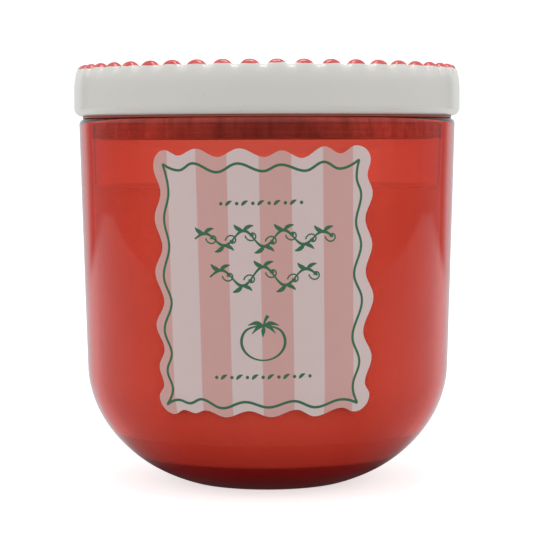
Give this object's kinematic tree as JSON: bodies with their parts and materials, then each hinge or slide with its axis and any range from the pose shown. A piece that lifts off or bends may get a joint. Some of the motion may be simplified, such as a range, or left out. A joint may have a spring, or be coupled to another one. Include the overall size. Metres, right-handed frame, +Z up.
{
  "type": "lidded candle jar",
  "caption": "Poured candle in a round-bottomed red glass jar, with a wavy-edged paper label and a beaded ceramic lid on a soft seal.",
  "frame": {"origin": "centre of the foot ring that the jar stands on", "axes": "+Z up along the jar's axis, from the foot to the lid; -Y towards the front label"},
  "size_m": [0.102, 0.102, 0.1095],
  "materials": {
    "red_glass": "glossy tinted glass",
    "printed_paper": "matt printed label stock",
    "plain_paper": "matt label stock",
    "wax": "soft satin candle wax",
    "wick_cotton": "waxed braided cotton",
    "tab_metal": "bright tinned steel",
    "adhesive_foam": "matt foam adhesive",
    "glazed_lid": "glossy off-white glaze with red bead tips",
    "clear_seal": "smoky translucent silicone"
  },
  "bodies": {
    "root": {"glass_jar": "red_glass", "front_label": "printed_paper", "base_label": "plain_paper", "wax_fill": "wax", "wick_1": "wick_cotton", "wick_2": "wick_cotton", "wick_3": "wick_cotton", "wick_tab_1": "tab_metal", "wick_tab_2": "tab_metal", "wick_tab_3": "tab_metal", "wick_sticker_1": "adhesive_foam", "wick_sticker_2": "adhesive_foam", "wick_sticker_3": "adhesive_foam", "lid": "glazed_lid", "lid_seal_ring": "clear_seal"}
  },
  "joints": []
}
